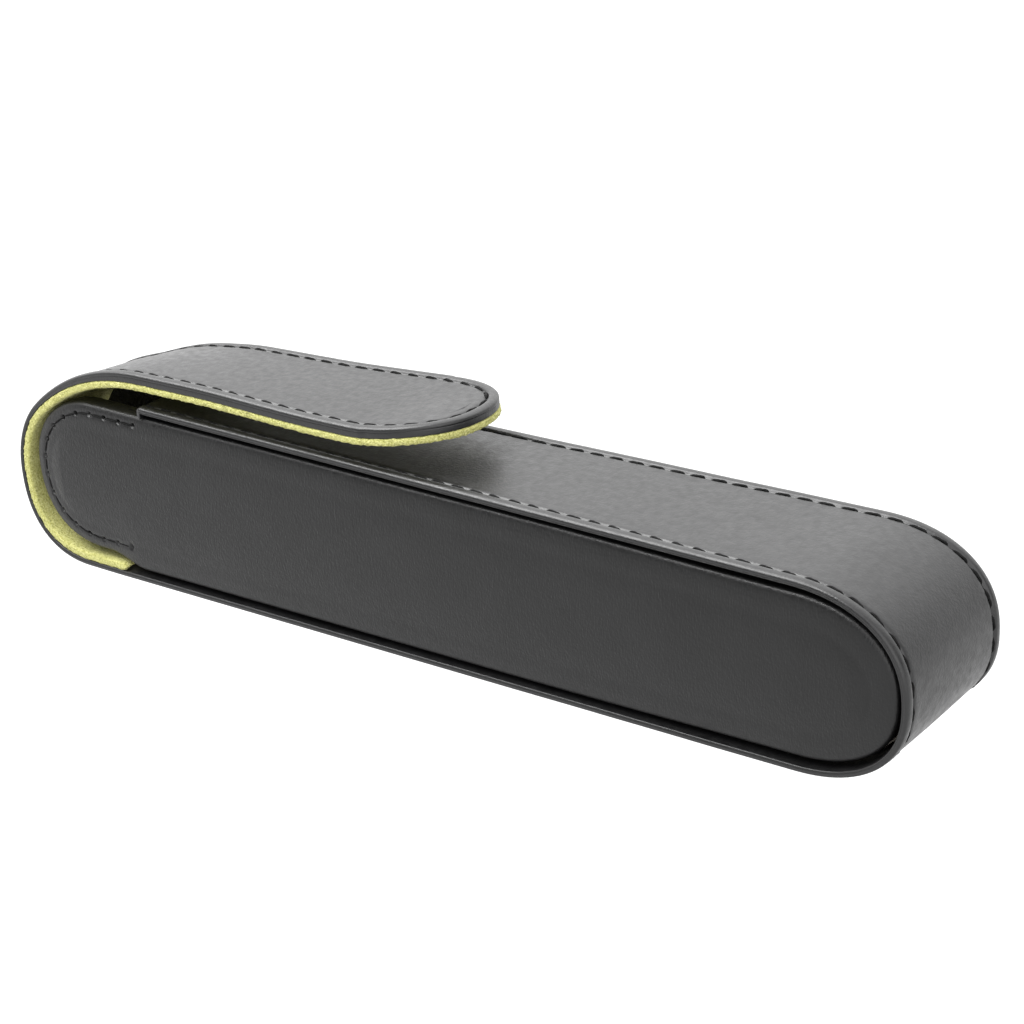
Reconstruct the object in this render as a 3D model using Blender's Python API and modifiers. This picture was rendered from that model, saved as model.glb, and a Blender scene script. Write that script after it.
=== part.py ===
"""Hard leather case for one fountain pen, with a wrap-over flap.

Metres, +Z up. The origin is the middle of the footprint on the surface that the case lies on.
+X points to the closed end. The mouth is at -X, and the flap wraps round it from below.
Outlines are drawn in the XZ plane and given their width along Y.
"""

import math

import bmesh
import bpy
from mathutils import Matrix, Vector

MM = 0.001

# Overall size
LENGTH = 167.0 * MM
END_HEIGHT = 28.0 * MM
END_WIDTH = 25.9 * MM
END_DEPTH = 17.6 * MM
END_EXPONENT = 2.28
MOUTH_HEIGHT = 30.8 * MM
MOUTH_WIDTH = 20.8 * MM
BAND_START_X = -53.3 * MM
HEEL_X = -60.5 * MM
END_X = LENGTH / 2 - END_DEPTH
GAP = 0.3 * MM

# Layers of the band, measured inwards from its outer face
LEATHER = 1.2 * MM
CORE = 0.8 * MM
LINING = 0.9 * MM
CORE_INSET = LEATHER + GAP
BAND_LINING_INSET = CORE_INSET + CORE + GAP

# Side panels, measured inwards from the band's edge
PANEL_INSET = 1.6 * MM
PANEL_FACE_INSET = 0.3 * MM
PANEL_LEATHER = 0.9 * MM
PAD = 0.6 * MM
BOARD = 0.7 * MM
PANEL_LINING = 0.6 * MM
PANEL_HEEL_INSET = 3.3 * MM
PANEL_MOUTH_X = -78.1 * MM
PANEL_MOUTH_DEPTH = 14.0 * MM
TURNED_EDGE = 1.0 * MM
LINING_TO_BAND = 0.3 * MM

# Flap, whose outer face is a chain of arcs
BEND_LOW_RADIUS = 14.5 * MM
BEND_MID_RADIUS = 16.5 * MM
BEND_MID_ANGLE = math.radians(50)
FLAP_TOP_Z = 36.4 * MM
FLAP_EDGE_INSET = 0.25 * MM
TONGUE_TIP_X = 8.0 * MM
TONGUE_END_DEPTH = 14.0 * MM
TONGUE_END_EXPONENT = 2.3
TONGUE_HINGE_X = -65.0 * MM
FLAP_GAP = 0.2 * MM
STIFFENER = 0.6 * MM
STIFFENER_MARGIN = 3.2 * MM
HINGE_GAP = 0.3 * MM

# Magnetic closure
MAGNET_X = -6.0 * MM
MAGNET_RADIUS = 4.5 * MM
KEEPER_LENGTH = 14.0 * MM
KEEPER_WIDTH = 9.0 * MM

# Sewing
SEAM_FROM_EDGE = 1.85 * MM
THREAD_RADIUS = 0.2 * MM
CHANNEL_RADIUS = 0.42 * MM
MOUTH_SEAM_INSET = 2.0 * MM
MOUTH_SEAM_TOP_X = -54.5 * MM
MOUTH_SEAM_LOW_X = -58.3 * MM

ARC_STEPS = 16
EDGE_BEVEL = 0.25 * MM

BLACK = (0.012, 0.012, 0.013)
LIME = (0.52, 0.54, 0.13)


def height_scale(x):
    """The body grows a little taller towards the mouth."""
    share = (END_X - x) / (END_X - BAND_START_X)
    return 1 + (MOUTH_HEIGHT / END_HEIGHT - 1) * share


def width_scale(x):
    """Body and flap grow narrower towards the mouth."""
    share = (END_X - x) / (END_X - BAND_START_X)
    return 1 + (MOUTH_WIDTH / END_WIDTH - 1) * share


def taper(mesh, with_height):
    for vertex in mesh.vertices:
        x, y, z = vertex.co
        rise = height_scale(x) if with_height else 1
        vertex.co = (x, y * width_scale(x), z * rise)


def rounded_end(centre, depth, half_height, exponent, side):
    """Points of a superellipse's half, from its top round to its bottom. side is 1 for +X, -1 for -X."""
    points = []
    for step in range(ARC_STEPS + 1):
        angle = math.pi * step / ARC_STEPS
        reach = abs(math.sin(angle)) ** (2 / exponent)
        rise = math.copysign(abs(math.cos(angle)) ** (2 / exponent), math.cos(angle))
        points.append((centre[0] + side * depth * reach, centre[1] + half_height * rise))
    return points


def closed_end(inset):
    centre = (END_X, END_HEIGHT / 2)
    return rounded_end(centre, END_DEPTH - inset, END_HEIGHT / 2 - inset, END_EXPONENT, 1)


def band_line(inset, start_x, end_x):
    """Along the top to the closed end, round it and back along the bottom."""
    return [(start_x, END_HEIGHT - inset)] + closed_end(inset) + [(end_x, inset)]


def band_outline(inset, thickness, start_x=BAND_START_X, end_x=HEEL_X + HINGE_GAP / 2):
    outer = band_line(inset, start_x, end_x)
    inner = band_line(inset + thickness, start_x, end_x)
    return outer + inner[::-1]


def panel_mouth_end(inset):
    """The panels' free end, whose lower half is raised to clear the flap's lining."""
    top = END_HEIGHT - PANEL_INSET - inset
    low = PANEL_HEEL_INSET + inset
    centre = (PANEL_MOUTH_X + PANEL_MOUTH_DEPTH, (top + low) / 2)
    return rounded_end(centre, PANEL_MOUTH_DEPTH - inset, (top - low) / 2, 2, -1)


def panel_outline(inset):
    step_x = HEEL_X + 2 * MM
    low_step = [(step_x - 1.5 * MM, PANEL_HEEL_INSET + inset), (step_x, PANEL_INSET + inset)]
    return closed_end(PANEL_INSET + inset) + low_step[::-1] + panel_mouth_end(inset)[::-1]


def arc(centre, radius, start, turn):
    """Points of an arc, clockwise as seen from the front."""
    steps = max(2, round(abs(turn) / math.radians(9)))
    angles = [start - turn * step / steps for step in range(steps + 1)]
    return [(centre[0] + radius * math.cos(a), centre[1] + radius * math.sin(a), a) for a in angles]


def flap_bends():
    """The three arcs of the flap's outer face: below the mouth, round it and on to the top."""
    low_x = -LENGTH / 2 + BEND_LOW_RADIUS
    low = arc((low_x, BEND_LOW_RADIUS), BEND_LOW_RADIUS, -math.pi / 2, math.pi / 2)
    mid_x = -LENGTH / 2 + BEND_MID_RADIUS
    mid = arc((mid_x, BEND_LOW_RADIUS), BEND_MID_RADIUS, -math.pi, BEND_MID_ANGLE)
    left = math.pi / 2 - BEND_MID_ANGLE
    radius = (FLAP_TOP_Z - mid[-1][1]) / (1 - math.cos(left))
    centre = (mid[-1][0] + radius * math.sin(left), FLAP_TOP_Z - radius)
    return low, mid, arc(centre, radius, -math.pi - BEND_MID_ANGLE, left)


def inwards(station, inset):
    """A point on the flap's outer face, moved into its thickness. station holds x, z and the way out."""
    return (station[0] - inset * math.cos(station[2]), station[1] - inset * math.sin(station[2]))


def heel_stations():
    low = flap_bends()[0]
    start = (HEEL_X - HINGE_GAP / 2, 0.0, -math.pi / 2)
    trim = HINGE_GAP / 2 / BEND_LOW_RADIUS
    last = (low[-1][0], low[-1][1] - HINGE_GAP / 2, low[-1][2] + trim)
    return [start] + low[:-1] + [last]


def crown_stations():
    _, mid, top = flap_bends()
    first = (mid[0][0], mid[0][1] + HINGE_GAP / 2, mid[0][2])
    stations = [first] + mid[1:] + [s for s in top[1:] if s[0] < TONGUE_HINGE_X - MM]
    return stations + [top_station(TONGUE_HINGE_X - HINGE_GAP / 2)]


def top_station(x):
    """Where the flap's uppermost arc, or the flat beyond it, has this x."""
    mid_end, top = flap_bends()[1][-1], flap_bends()[2]
    centre_x = top[-1][0]
    if x >= centre_x:
        return (x, FLAP_TOP_Z, math.pi / 2)
    radius = (centre_x - mid_end[0]) / math.sin(math.pi / 2 - BEND_MID_ANGLE)
    angle = math.acos((x - centre_x) / radius)
    return (x, FLAP_TOP_Z - radius + radius * math.sin(angle), angle)


def tongue_stations(end_x=TONGUE_TIP_X):
    top = flap_bends()[2]
    first = top_station(TONGUE_HINGE_X + HINGE_GAP / 2)
    return [first] + [s for s in top if s[0] > TONGUE_HINGE_X + MM] + [top_station(end_x)]


def strip(stations, outer_inset, inner_inset):
    """The side view of a layer. inner_inset may be a pair, from the first station to the last."""
    first, last = outer_inset if isinstance(outer_inset, tuple) else (outer_inset, outer_inset)
    depth = inner_inset - last
    shares = [i / (len(stations) - 1) for i in range(len(stations))]
    insets = [first + (last - first) * share for share in shares]
    outer = [inwards(s, inset) for s, inset in zip(stations, insets)]
    inner = [inwards(s, inset + depth) for s, inset in zip(stations, insets)]
    return outer + inner[::-1]


def material(name, colour, roughness, metallic=0.0):
    made = bpy.data.materials.new(name)
    made.use_nodes = True
    shader = made.node_tree.nodes["Principled BSDF"]
    shader.inputs["Base Color"].default_value = (*colour, 1)
    shader.inputs["Roughness"].default_value = roughness
    shader.inputs["Metallic"].default_value = metallic
    made.diffuse_color = (*colour, 1)
    return made


def collection(name):
    made = bpy.data.collections.new(name)
    bpy.context.scene.collection.children.link(made)
    return made


def mesh_from_curve(name, curve, matrix):
    """The curve's evaluated shape as a welded mesh in world space. The curve is removed."""
    guide = bpy.data.objects.new(name + "_curve", curve)
    bpy.context.scene.collection.objects.link(guide)
    bpy.context.view_layer.update()
    mesh = bpy.data.meshes.new_from_object(guide.evaluated_get(bpy.context.evaluated_depsgraph_get()))
    bpy.data.objects.remove(guide)
    bpy.data.curves.remove(curve)
    mesh.transform(matrix)
    work = bmesh.new()
    work.from_mesh(mesh)
    bmesh.ops.remove_doubles(work, verts=work.verts, dist=0.001 * MM)
    bmesh.ops.recalc_face_normals(work, faces=work.faces)
    work.to_mesh(mesh)
    work.free()
    mesh.name = name
    return mesh


def plate_mesh(name, outline, y_low, y_high, with_height=True):
    """A flat outline in the XZ plane, given thickness from y_low to y_high."""
    curve = bpy.data.curves.new(name, "CURVE")
    curve.dimensions = "2D"
    curve.fill_mode = "BOTH"
    curve.extrude = (y_high - y_low) / 2
    spline = curve.splines.new("POLY")
    spline.points.add(len(outline) - 1)
    for point, (x, z) in zip(spline.points, outline):
        point.co = (x, z, 0, 1)
    spline.use_cyclic_u = True
    upright = Matrix.Rotation(math.pi / 2, 4, "X")
    middle = Matrix.Translation((0, (y_low + y_high) / 2, 0))
    mesh = mesh_from_curve(name, curve, middle @ upright)
    taper(mesh, with_height)
    return mesh


def tube_mesh(name, points, radius, with_height=True):
    curve = bpy.data.curves.new(name, "CURVE")
    curve.dimensions = "3D"
    curve.bevel_depth = radius
    curve.bevel_resolution = 2
    curve.use_fill_caps = True
    spline = curve.splines.new("POLY")
    spline.points.add(len(points) - 1)
    for point, place in zip(spline.points, points):
        point.co = (*place, 1)
    mesh = mesh_from_curve(name, curve, Matrix.Identity(4))
    taper(mesh, with_height)
    return mesh


class Case:
    """Holds the collections, the materials and the hinges while the pieces are made."""

    def __init__(self):
        self.parts = collection("fountain_pen_case")
        self.cutters = collection("cutters")
        self.finishes = {
            "leather": material("black_leather", BLACK, 0.42),
            "suede": material("lime_suede", LIME, 0.95),
            "thread": material("black_thread", (0.006, 0.006, 0.007), 0.7),
            "board": material("grey_board", (0.23, 0.21, 0.18), 0.9),
            "foam": material("white_foam", (0.6, 0.6, 0.58), 0.95),
            "steel": material("plated_steel", (0.5, 0.5, 0.52), 0.35, 1.0),
        }

    def add(self, name, mesh, finish, hinge=None, bevel=0.0):
        """Adds a piece. A hinged piece has its origin on the hinge."""
        mesh.materials.clear()
        mesh.materials.append(self.finishes[finish])
        mesh.name = name
        piece = bpy.data.objects.new(name, mesh)
        self.parts.objects.link(piece)
        if hinge:
            mesh.transform(Matrix.Translation(-hinge.matrix_world.translation))
            piece.parent = hinge
        if bevel:
            rounding = piece.modifiers.new("rounded_edges", "BEVEL")
            rounding.width = bevel
            rounding.segments = 1
            rounding.limit_method = "ANGLE"
            rounding.angle_limit = math.radians(50)
        mesh.shade_smooth()
        mesh.set_sharp_from_angle(angle=math.radians(35))
        return piece

    def cut(self, piece, mesh):
        """Takes the mesh's shape out of the piece, ahead of its rounded edges."""
        cutter = bpy.data.objects.new("cut_" + mesh.name, mesh)
        self.cutters.objects.link(cutter)
        cutter.hide_render = True
        cutter.display_type = "WIRE"
        if piece.parent:
            mesh.transform(Matrix.Translation(-piece.parent.matrix_world.translation))
            cutter.parent = piece.parent
        opening = piece.modifiers.new(cutter.name, "BOOLEAN")
        opening.operation = "DIFFERENCE"
        opening.object = cutter
        piece.modifiers.move(len(piece.modifiers) - 1, 0)

    def hinge(self, name, place, parent=None):
        empty = bpy.data.objects.new(name, None)
        empty.empty_display_size = 5 * MM
        self.parts.objects.link(empty)
        empty.parent = parent
        empty.location = place - (parent.matrix_world.translation if parent else Vector())
        bpy.context.view_layer.update()
        return empty


def sides():
    """The front of the case is at -Y."""
    return (("front", -1), ("back", 1))


def seam_y():
    return END_WIDTH / 2 - SEAM_FROM_EDGE


def on_side(outline, y):
    return [(x, y, z) for x, z in outline]


def make_band(case):
    half = END_WIDTH / 2
    leather = case.add("outer_band", plate_mesh("outer_band", band_outline(0, LEATHER), -half, half), "leather")
    seam = band_line(THREAD_RADIUS, BAND_START_X + MM, HEEL_X + MM)
    channel = band_line(THREAD_RADIUS, BAND_START_X - MM, HEEL_X - MM)
    for side, sign in sides():
        y = sign * seam_y()
        case.cut(leather, tube_mesh(side + "_seam_channel", on_side(channel, y), CHANNEL_RADIUS))
        thread = tube_mesh(side + "_seam_thread", on_side(seam, y), THREAD_RADIUS)
        case.add(side + "_seam_thread", thread, "thread")


def make_band_inside(case):
    half = panel_depth() - GAP
    start, end = BAND_START_X + MM, HEEL_X + MM
    core = plate_mesh("band_core", band_outline(CORE_INSET, CORE, start, end), -half, half)
    core_piece = case.add("band_core", core, "board")
    lining = plate_mesh("band_lining", band_outline(BAND_LINING_INSET, LINING, start, end), -half, half)
    case.add("band_lining", lining, "suede")
    high = END_HEIGHT - CORE_INSET
    keeper = rectangle(MAGNET_X, (high - CORE, high), KEEPER_LENGTH)
    case.add("keeper_plate", plate_mesh("keeper_plate", keeper, -KEEPER_WIDTH / 2, KEEPER_WIDTH / 2), "steel")
    window = rectangle(MAGNET_X, (high - CORE - MM, high + MM), KEEPER_LENGTH + 2 * GAP)
    window_half = KEEPER_WIDTH / 2 + GAP
    case.cut(core_piece, plate_mesh("keeper_window", window, -window_half, window_half))


def rectangle(centre_x, heights, length):
    low, high = heights
    left, right = centre_x - length / 2, centre_x + length / 2
    return [(left, high), (right, high), (right, low), (left, low)]


def panel_depth():
    """How far the panels' inner faces are from the middle plane, at the closed end."""
    layers = PANEL_LEATHER + PAD + BOARD + PANEL_LINING + 3 * GAP
    return END_WIDTH / 2 - PANEL_FACE_INSET - layers


def make_panel(case, side, sign):
    face = END_WIDTH / 2 - PANEL_FACE_INSET
    pad = face - PANEL_LEATHER - GAP
    board = pad - PAD - GAP
    lining = board - BOARD - GAP
    rim = lining + GAP

    def layer(name, inset, depth_in, depth_out):
        low, high = sorted((sign * depth_in, sign * depth_out))
        return plate_mesh(name, panel_outline(inset), low, high)

    cover = case.add(side + "_cover", layer(side + "_cover", 0, rim, face), "leather", bevel=EDGE_BEVEL)
    pocket = layer(side + "_cover_pocket", TURNED_EDGE, rim - MM, face - PANEL_LEATHER)
    case.cut(cover, pocket)
    inner = TURNED_EDGE + GAP
    case.add(side + "_pad", layer(side + "_pad", inner, pad - PAD, pad), "foam")
    case.add(side + "_board", layer(side + "_board", inner, board - BOARD, board), "board")
    skin = layer(side + "_lining", LINING_TO_BAND, lining - PANEL_LINING, lining)
    case.add(side + "_lining", skin, "suede")
    line = mouth_seam(MOUTH_SEAM_INSET)
    y = sign * (face - THREAD_RADIUS)
    case.cut(cover, tube_mesh(side + "_mouth_channel", on_side(line, y), CHANNEL_RADIUS))
    thread = tube_mesh(side + "_mouth_thread", on_side(line[1:-1], y), THREAD_RADIUS)
    case.add(side + "_mouth_thread", thread, "thread")


def mouth_seam(inset):
    """The sewn line round a panel's free end, from its upper end to its lower one."""
    end = panel_mouth_end(inset)
    top, low = end[0][1], end[-1][1]
    upper = [(MOUTH_SEAM_TOP_X + MM, top), (MOUTH_SEAM_TOP_X, top)]
    return upper + end + [(MOUTH_SEAM_LOW_X, low), (MOUTH_SEAM_LOW_X + MM, low)]


def make_bend(case, name, stations, hinge, lining_insets):
    """One stretch of the flap's bend: leather, lining and the seam near each edge."""
    half = END_WIDTH / 2 - FLAP_EDGE_INSET
    leather = plate_mesh(name + "_leather", strip(stations, 0, LEATHER), -half, half, False)
    piece = case.add(name + "_leather", leather, "leather", hinge)
    lining = plate_mesh(name + "_lining", strip(stations, lining_insets, lining_insets[1] + LINING), -half, half, False)
    case.add(name + "_lining", lining, "suede", hinge)
    line = [inwards(station, THREAD_RADIUS) for station in stations]
    before, after = beyond(line[1], line[0]), beyond(line[-2], line[-1])
    for side, sign in sides():
        y = sign * seam_y()
        channel = on_side([before] + line[1:-1] + [after], y)
        case.cut(piece, tube_mesh(f"{name}_{side}_channel", channel, CHANNEL_RADIUS, False))
        thread = tube_mesh(f"{name}_{side}_thread", on_side(line, y), THREAD_RADIUS, False)
        case.add(f"{name}_{side}_thread", thread, "thread", hinge)


def beyond(inner, end):
    """A point 1 mm past the end of a line, so that a channel runs right through."""
    step = Vector((end[0] - inner[0], end[1] - inner[1]))
    return tuple(Vector(end) + step.normalized() * MM)


def tongue_plan(inset):
    """The tongue's end seen from above, from its back edge round the tip to its front edge, as (x, y)."""
    half = END_WIDTH / 2 - FLAP_EDGE_INSET - inset
    centre = (TONGUE_TIP_X - TONGUE_END_DEPTH, 0.0)
    return rounded_end(centre, TONGUE_END_DEPTH - inset, half, TONGUE_END_EXPONENT, 1)


def tongue_trim(inset, low, high, start_x):
    """A tall block in the tongue's plan, which gives a layer its rounded end."""
    end = tongue_plan(inset)
    outline = [(start_x, end[0][1])] + end + [(start_x, end[-1][1])]
    curve = bpy.data.curves.new("tongue_trim", "CURVE")
    curve.dimensions = "2D"
    curve.fill_mode = "BOTH"
    curve.extrude = (high - low) / 2
    spline = curve.splines.new("POLY")
    spline.points.add(len(outline) - 1)
    for point, (x, y) in zip(spline.points, outline):
        point.co = (x, y, 0, 1)
    spline.use_cyclic_u = True
    mesh = mesh_from_curve("tongue_trim", curve, Matrix.Translation((0, 0, (low + high) / 2)))
    taper(mesh, False)
    return mesh


def tongue_layer(case, name, finish, outer_inset, inner_inset, margin, hinge, start_x):
    """A layer of the tongue: its side view across the whole width, kept where the plan has it."""
    stations = [s for s in tongue_stations(TONGUE_TIP_X + MM) if s[0] >= start_x]
    mesh = plate_mesh(name, strip(stations, outer_inset, inner_inset), -END_WIDTH, END_WIDTH, False)
    piece = case.add(name, mesh, finish, hinge)
    case.cut(piece, tongue_trim(margin, 20 * MM, 50 * MM, start_x - 20 * MM))
    piece.modifiers[0].operation = "INTERSECT"
    return piece


def make_tongue(case, hinge):
    start = TONGUE_HINGE_X
    leather = tongue_layer(case, "tongue_leather", "leather", 0, LEATHER, 0, hinge, start)
    stiff_inset = LEATHER + FLAP_GAP
    stiffener = tongue_layer(
        case, "tongue_stiffener", "board", stiff_inset, stiff_inset + STIFFENER, STIFFENER_MARGIN, hinge, start + 12 * MM
    )
    lining_inset = stiff_inset + STIFFENER + FLAP_GAP
    tongue_layer(case, "tongue_lining", "suede", lining_inset, lining_inset + LINING, 0, hinge, start)
    seam = SEAM_FROM_EDGE - FLAP_EDGE_INSET
    top_line = [inwards(s, THREAD_RADIUS) for s in tongue_stations() if s[0] < tongue_plan(0)[0][0]]
    plan = [(x, y, FLAP_TOP_Z - THREAD_RADIUS) for x, y in tongue_plan(seam)]
    y_seam = plan[0][1]
    path = on_side(top_line, y_seam) + plan + on_side(top_line[::-1], -y_seam)
    before = beyond(top_line[1], top_line[0])
    channel = on_side([before], y_seam) + path[1:-1] + on_side([before], -y_seam)
    case.cut(leather, tube_mesh("tongue_channel", channel, CHANNEL_RADIUS, False))
    case.add("tongue_thread", tube_mesh("tongue_thread", path, THREAD_RADIUS, False), "thread", hinge)
    make_magnet(case, stiffener, FLAP_TOP_Z - stiff_inset - STIFFENER / 2, hinge)


def disc_mesh(name, radius, depth, place):
    work = bmesh.new()
    bmesh.ops.create_cone(work, cap_ends=True, segments=32, radius1=radius, radius2=radius, depth=depth)
    bmesh.ops.translate(work, verts=work.verts, vec=place)
    mesh = bpy.data.meshes.new(name)
    work.to_mesh(mesh)
    work.free()
    return mesh


def make_magnet(case, stiffener, z, hinge):
    place = Vector((MAGNET_X, 0, z))
    case.add("magnet", disc_mesh("magnet", MAGNET_RADIUS, STIFFENER, place), "steel", hinge)
    case.cut(stiffener, disc_mesh("magnet_window", MAGNET_RADIUS + GAP, 3 * STIFFENER, place))


def main():
    for thing in list(bpy.data.objects):
        bpy.data.objects.remove(thing)
    case = Case()
    make_band(case)
    make_band_inside(case)
    for side, sign in sides():
        make_panel(case, side, sign)

    low, mid, _ = flap_bends()
    heel_hinge = case.hinge("heel_hinge", Vector((HEEL_X, 0, 0)))
    crown_hinge = case.hinge("crown_hinge", Vector((mid[0][0], 0, mid[0][1])), heel_hinge)
    fold = top_station(TONGUE_HINGE_X)
    tongue_hinge = case.hinge("tongue_hinge", Vector((fold[0], 0, fold[1])), crown_hinge)
    thin, thick = LEATHER + FLAP_GAP, LEATHER + STIFFENER + 2 * FLAP_GAP
    make_bend(case, "heel", heel_stations(), heel_hinge, (thin, thin))
    make_bend(case, "crown", crown_stations(), crown_hinge, (thin, thick))
    make_tongue(case, tongue_hinge)


main()
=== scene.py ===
"""Looks of the fountain pen case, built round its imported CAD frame.

Lengths are in millimetres here, in the frame's axes, and become metres where a mesh is made.
The front of the case is at -Y, its closed end at +X, and the surface it lies on is z = 0.
One leather strip makes the band and the flap. It is worked out as one run of rings, so that its
pieces meet exactly, and is then cut at the hinges into the pieces that move.
"""

import math
import random

import bpy
import numpy as np
from mathutils import Matrix, Vector, noise


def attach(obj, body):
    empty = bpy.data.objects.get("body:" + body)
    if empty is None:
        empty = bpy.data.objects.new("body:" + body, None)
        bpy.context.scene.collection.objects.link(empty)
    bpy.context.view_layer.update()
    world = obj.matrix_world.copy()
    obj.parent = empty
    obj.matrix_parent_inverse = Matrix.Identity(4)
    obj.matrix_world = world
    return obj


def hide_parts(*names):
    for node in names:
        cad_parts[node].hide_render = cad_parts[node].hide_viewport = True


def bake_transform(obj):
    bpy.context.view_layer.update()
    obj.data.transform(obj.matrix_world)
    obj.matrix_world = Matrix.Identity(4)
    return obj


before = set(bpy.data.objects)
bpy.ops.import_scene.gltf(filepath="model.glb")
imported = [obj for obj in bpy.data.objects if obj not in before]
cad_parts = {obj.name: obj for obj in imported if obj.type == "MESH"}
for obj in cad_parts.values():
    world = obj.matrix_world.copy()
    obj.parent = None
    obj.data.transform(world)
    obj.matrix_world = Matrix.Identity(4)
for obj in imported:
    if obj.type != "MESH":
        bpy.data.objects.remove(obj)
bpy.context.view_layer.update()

MM = 0.001

# The case's shape, as the CAD has it
LENGTH = 167.0
HEIGHT = 28.0
WIDTH = 25.9
END_DEPTH = 17.6
END_EXPONENT = 2.28
END_X = LENGTH / 2 - END_DEPTH
MOUTH_GROWTH = 30.8 / HEIGHT - 1
MOUTH_NARROWING = 20.8 / WIDTH - 1
BAND_START_X = -53.3
HEEL_X = -60.5
PANEL_INSET = 1.6
PANEL_HEEL_INSET = 3.3
PANEL_MOUTH_DEPTH = 14.0
PANEL_FACE = WIDTH / 2 - 0.3
FLAP_TOP_Z = 36.4
BEND_LOW_RADIUS = 14.5
BEND_MID_RADIUS = 16.5
BEND_MID_ANGLE = math.radians(50)
TONGUE_HINGE_X = -65.0
TONGUE_TIP_X = 8.0
TONGUE_END_DEPTH = 14.0
TONGUE_END_EXPONENT = 2.3
FLAP_EDGE_INSET = 0.25
HEEL_STEP = (-64, -56)
FLAP_WIDENING = (-75, HEEL_X)

# Where the looks depart from the CAD: the panels reach further at the mouth, stand prouder and
# are smaller at the closed end, and the flap's lower bend is squarer
PANEL_MOUTH_X = -79.0
PANEL_END_INSET = 1.95
PANEL_END_TAPER = (25, END_X)
COVER_PROUD = 0.3
PANEL_CROWN = 0.4
FULL_CROWN_HEIGHT = 18.0
LOW_FULLNESS = 2.35

# How the flap lies, over the flat strip of the CAD: each change and the stretch of x it spans
FRONT_SAG, SAGGING = 0.75, (-42, -14)
FRONT_TIP_RISE, FRONT_RISING = 1.5, (-9, 8)
BACK_SINK, SINKING = 0.33, (-80, -64)
BACK_TWIST, TWIST_ENDING = 1.9, (-66, -42)
BACK_TIP_RISE, BACK_RISING = 0.83, (-28, 6)

# Leather and suede
SHEET = 1.2
BAND_RIM = 0.95
TONGUE_RIM = 1.6
THICKENING = (-81, -52)
RIM_WIDTH = 3.4
CHANNEL_SIDE = -0.1
FACE_CROWN = 0.06
BEAD_HEIGHT = 0.08
FOLD_RADIUS = 0.95
FOLD_NARROWING = 0.5
CLOSEST_LOOPS = 0.05
CLEAR_OF_FOLD = 0.4
WAVE_HEIGHT = 0.03
WAVE_SPACING = 12.0
LINING = 0.9
LINING_RIM_WIDTH = 3.2
LAYER_GAP = 0.03
BEND_LINING_DEPTH = 2.3
TONGUE_LINING_DEPTH = 2.75
LINING_TIP_PROUD, PROUD_GROWING = 0.12, (-15, 5)
LINING_BEND_SHY = 0.05
BAND_LINING_TOP = 2.6
BAND_LINING_SHORT = 1
BAND_LINING_HALF_WIDTH = 8.65
FUZZ = 0.05

# The layers of a panel, from outside
COVER = 0.9
PAD = 0.6
BOARD = 0.7
PANEL_GAP = 0.3
PAD_IN = 1.15
PAD_INSET = 1.3
PANEL_LINING_IN = COVER + PANEL_GAP + PAD + PANEL_GAP + BOARD + PANEL_GAP
PANEL_LINING_INSET = 0.3

# Sewing
SEAM_INSET = 1.85
SEAM_DEPTH = 0.3
STITCH_PITCH = 3.45
STITCH_LENGTH = 2.75
STITCH_SLANT = 0.16
STITCH_SINK = 0.28
THREAD_RADIUS = 0.23
MOUTH_SEAM_TOP = (-54.5, 24.9)
MOUTH_SEAM_LOW = (-58.3, 5.2)
MOUTH_SEAM_CENTRE_X = -64.1
MOUTH_SEAM_DEPTH = 12.5
MOUTH_PITCH = 3.4
MOUTH_STITCH_LENGTH = MOUTH_PITCH - 0.2
MOUTH_STITCH_SLANT = 0.04
MOUTH_STITCH_SINK = 0.45
MOUTH_THREAD_RADIUS = 0.14
CHANNEL_DEPTH = 0.14
CHANNEL_WIDTH = 0.4
HOLE_DEPTH = 0.65
HOLE_RADIUS = 0.36
SEAM_REACH = 2
FACE_DEPTH = 0.7

# How far apart the loops of a run are, in its three stretches
LEATHER_SPACINGS = (1.0, 0.7, 0.6)
FLAP_LINING_SPACINGS = (1.0, 0.4, 0.4)
BAND_LINING_SPACINGS = (0.5, 0.7, 0.6)
COVER_SPACINGS = (0.6, 1.5, 0.22)
PANEL_LAYER_SPACINGS = (0.7, 1.6, 0.9)
PANEL_MOUTH_STRETCH_X = -51.0

# The stage
FLOOR_DROP = 25.0
FLOOR_REACH = 4000
CAMERA_AZIMUTH = math.radians(37.933)
CAMERA_ELEVATION = math.radians(22.559)
CAMERA_ROLL = math.radians(-4.024)
CAMERA_TARGET = Vector((12.135, 0, 21.884)) * MM
CAMERA_DISTANCE = 348.72 * MM
CAMERA_LENS = 84.0
SENSOR_WIDTH = 36.0


def smoothstep(low, high, value):
    share = min(1.0, max(0.0, (value - low) / (high - low)))
    return share * share * (3 - 2 * share)


def height_scale(x):
    """The body grows taller towards the mouth."""
    return 1 + MOUTH_GROWTH * (END_X - x) / (END_X - BAND_START_X)


def width_scale(x):
    """Body and flap grow narrower towards the mouth."""
    return 1 + MOUTH_NARROWING * (END_X - x) / (END_X - BAND_START_X)


def superellipse(centre, depth, half, exponent, angles):
    """Points at angles from the top (0) round the side that depth points to, to the bottom (pi)."""
    points = []
    for angle in angles:
        reach = abs(math.sin(angle)) ** (2 / exponent)
        rise = math.copysign(abs(math.cos(angle)) ** (2 / exponent), math.cos(angle))
        points.append((centre[0] + depth * reach, centre[1] + half * rise))
    return points


def line_lengths(points):
    steps = np.linalg.norm(np.diff(points, axis=0), axis=1)
    return np.concatenate([[0.0], np.cumsum(steps)])


def resampled(points, spacing):
    """The same line with evenly spaced points."""
    points = np.array(points, float)
    along = line_lengths(points)
    wanted = np.linspace(0, along[-1], max(2, round(along[-1] / spacing)) + 1)
    return np.stack([np.interp(wanted, along, column) for column in points.T], axis=1)


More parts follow.
